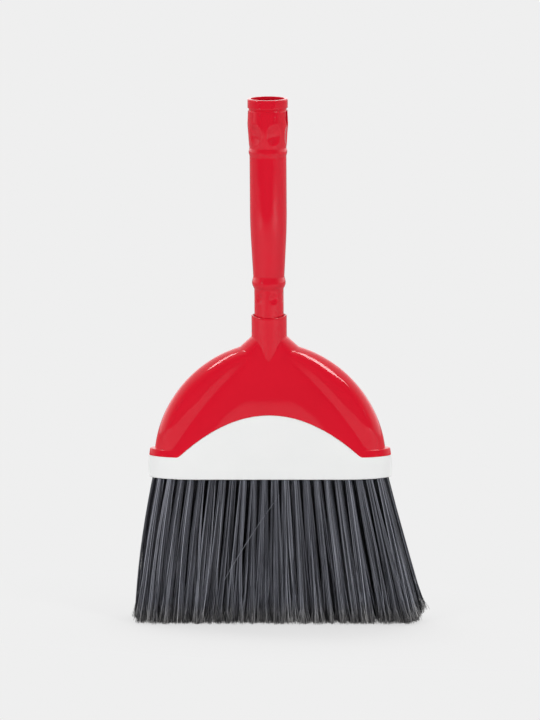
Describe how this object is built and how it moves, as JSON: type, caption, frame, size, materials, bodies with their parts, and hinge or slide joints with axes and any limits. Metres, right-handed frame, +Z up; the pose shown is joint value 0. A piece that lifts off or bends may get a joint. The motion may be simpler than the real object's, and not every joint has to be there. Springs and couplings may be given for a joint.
{
  "type": "broom",
  "caption": "Short broom: a fan-shaped head shell over a bristle block with soft, flared tufts, and a hollow handle section that plugs into its neck.",
  "frame": {"origin": "on the floor under the handle's axis, at the tip of the middle tuft of the middle row", "axes": "+Z up along the handle; -Y is the front; +X is to the right seen from the front, along the bristle block"},
  "size_m": [0.2454, 0.0408, 0.45],
  "materials": {
    "red_plastic": "glossy moulded polypropylene",
    "white_plastic": "satin moulded polypropylene",
    "grey_filament": "fine soft filaments with a slight sheen"
  },
  "bodies": {
    "head": {"head_shell": "red_plastic", "bristle_block": "white_plastic", "tuft_front_01": "grey_filament", "tuft_front_02": "grey_filament", "tuft_front_03": "grey_filament", "tuft_front_04": "grey_filament", "tuft_front_05": "grey_filament", "tuft_front_06": "grey_filament", "tuft_front_07": "grey_filament", "tuft_front_08": "grey_filament", "tuft_front_09": "grey_filament", "tuft_front_10": "grey_filament", "tuft_front_11": "grey_filament", "tuft_front_12": "grey_filament", "tuft_front_13": "grey_filament", "tuft_front_14": "grey_filament", "tuft_front_15": "grey_filament", "tuft_front_16": "grey_filament", "tuft_front_17": "grey_filament", "tuft_front_18": "grey_filament", "tuft_front_19": "grey_filament", "tuft_front_20": "grey_filament", "tuft_front_21": "grey_filament", "tuft_front_22": "grey_filament", "tuft_back_01": "grey_filament", "tuft_back_02": "grey_filament", "tuft_back_03": "grey_filament", "tuft_back_04": "grey_filament", "tuft_back_05": "grey_filament", "tuft_back_06": "grey_filament", "tuft_back_07": "grey_filament", "tuft_back_08": "grey_filament", "tuft_back_09": "grey_filament", "tuft_back_10": "grey_filament", "tuft_back_11": "grey_filament", "tuft_back_12": "grey_filament", "tuft_back_13": "grey_filament", "tuft_back_14": "grey_filament", "tuft_back_15": "grey_filament", "tuft_back_16": "grey_filament", "tuft_back_17": "grey_filament", "tuft_back_18": "grey_filament", "tuft_back_19": "grey_filament", "tuft_back_20": "grey_filament", "tuft_back_21": "grey_filament", "tuft_back_22": "grey_filament", "tuft_row_middle": "grey_filament"},
    "handle": {"handle": "red_plastic"}
  },
  "joints": [
    {"name": "handle_pull", "type": "slide", "parent": "head", "child": "handle", "axis": [0, 0, 1], "range_m": [0, 0.042]}
  ]
}
